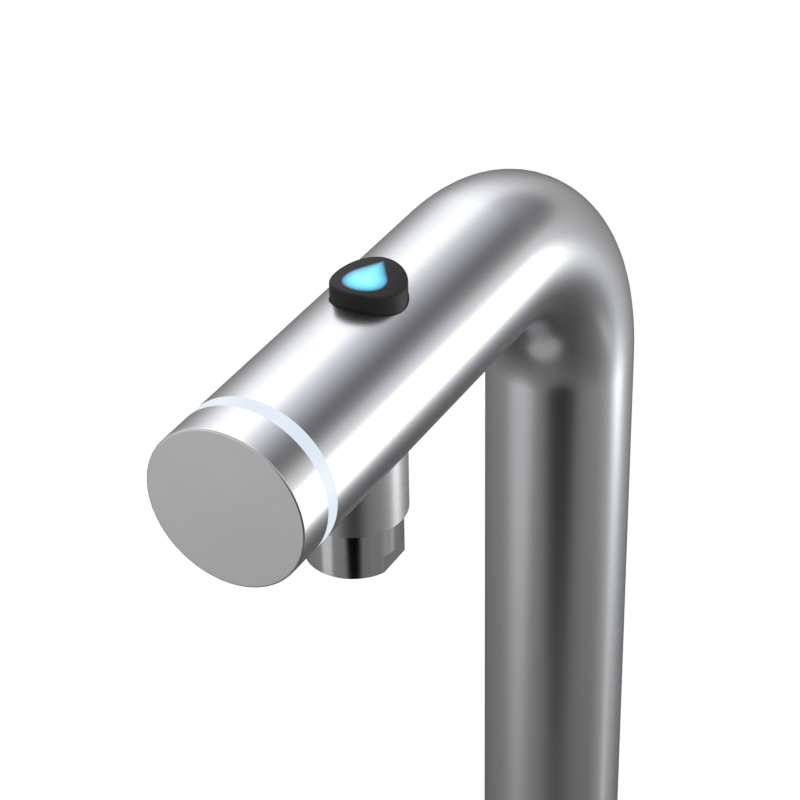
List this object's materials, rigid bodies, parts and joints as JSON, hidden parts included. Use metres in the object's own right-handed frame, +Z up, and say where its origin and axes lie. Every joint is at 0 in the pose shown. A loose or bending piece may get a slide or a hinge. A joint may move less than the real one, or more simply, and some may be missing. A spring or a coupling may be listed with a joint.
{
  "type": "boiling water tap",
  "caption": "Single bent-tube tap for boiling water, with a press button on the crown, a lit ring near the spout's end and a short aerator nozzle below.",
  "frame": {"origin": "centre of the column on the worktop's surface, where the base ring and gasket rest", "axes": "+Z up along the column, the spout points along -Y, +X to the right of a person who faces the spout's end"},
  "size_m": [0.058, 0.194, 0.4195],
  "materials": {
    "tube_steel": "brushed round the tube",
    "cap_steel": "satin, turned",
    "ring_diffuser": "frosted acrylic, lit from inside",
    "moulded_black": "moulded",
    "seal_rubber": "matte",
    "board_white": "solder mask",
    "board_green": "solder mask",
    "led_package": "lens over phosphor",
    "wire_white": "PVC sheath",
    "button_black": "satin charcoal",
    "button_light": "clear, lit from inside",
    "spring_steel": "drawn wire",
    "plunger_white": "moulded",
    "screw_steel": "stainless, bright",
    "aerator_chrome": "polished",
    "insert_white": "moulded acetal",
    "turned_brass": "turned",
    "seal_fibre": "pressed fibre",
    "hose_silicone": "food-grade silicone",
    "foam_grey": "closed-cell foam",
    "cable_black": "PVC sheath",
    "stem_steel": "drawn tube",
    "washer_steel": "pressed"
  },
  "bodies": {
    "tap": {"spout_tube": "tube_steel", "end_cap": "cap_steel", "light_ring": "ring_diffuser", "end_plug": "moulded_black", "cap_o_ring": "seal_rubber", "plug_o_ring": "seal_rubber", "ring_board": "board_white", "ring_leds": "led_package", "ring_cable": "wire_white", "button_spring": "spring_steel", "button_housing": "moulded_black", "button_seal": "seal_rubber", "button_board": "board_green", "button_leds": "led_package", "switch_case": "moulded_black", "board_screws": "screw_steel", "nozzle_collar": "cap_steel", "aerator_housing": "aerator_chrome", "aerator_washer": "seal_rubber", "flow_straightener": "insert_white", "outlet_elbow": "turned_brass", "elbow_seal": "seal_fibre", "inner_hose": "hose_silicone", "hose_clips": "screw_steel", "hose_spacers": "insert_white", "hose_insulation": "foam_grey", "signal_cable": "cable_black", "signal_socket": "moulded_black", "shank_grommet": "seal_rubber", "inlet_stem": "stem_steel", "foot_shank": "turned_brass", "foot_screws": "screw_steel", "base_ring": "cap_steel", "deck_gasket": "seal_rubber", "rubber_washer": "seal_rubber", "steel_washer": "washer_steel", "backnut": "turned_brass"},
    "button": {"button_cap": "button_black", "light_guide": "button_light"},
    "plunger": {"switch_plunger": "plunger_white"}
  },
  "joints": [
    {"name": "button_press", "type": "slide", "parent": "tap", "child": "button", "axis": [0, 0, -1], "range_m": [0, 0.001], "stiffness_N_per_m": 1200, "springref_m": -0.001, "deforming": ["button_spring"]},
    {"name": "switch_press", "type": "slide", "parent": "tap", "child": "plunger", "axis": [0, 0, -1], "range_m": [0, 0.001], "stiffness_N_per_m": 100}
  ],
  "couplings": [
    {"joint": "switch_press", "follows": "button_press", "ratio": 1}
  ]
}
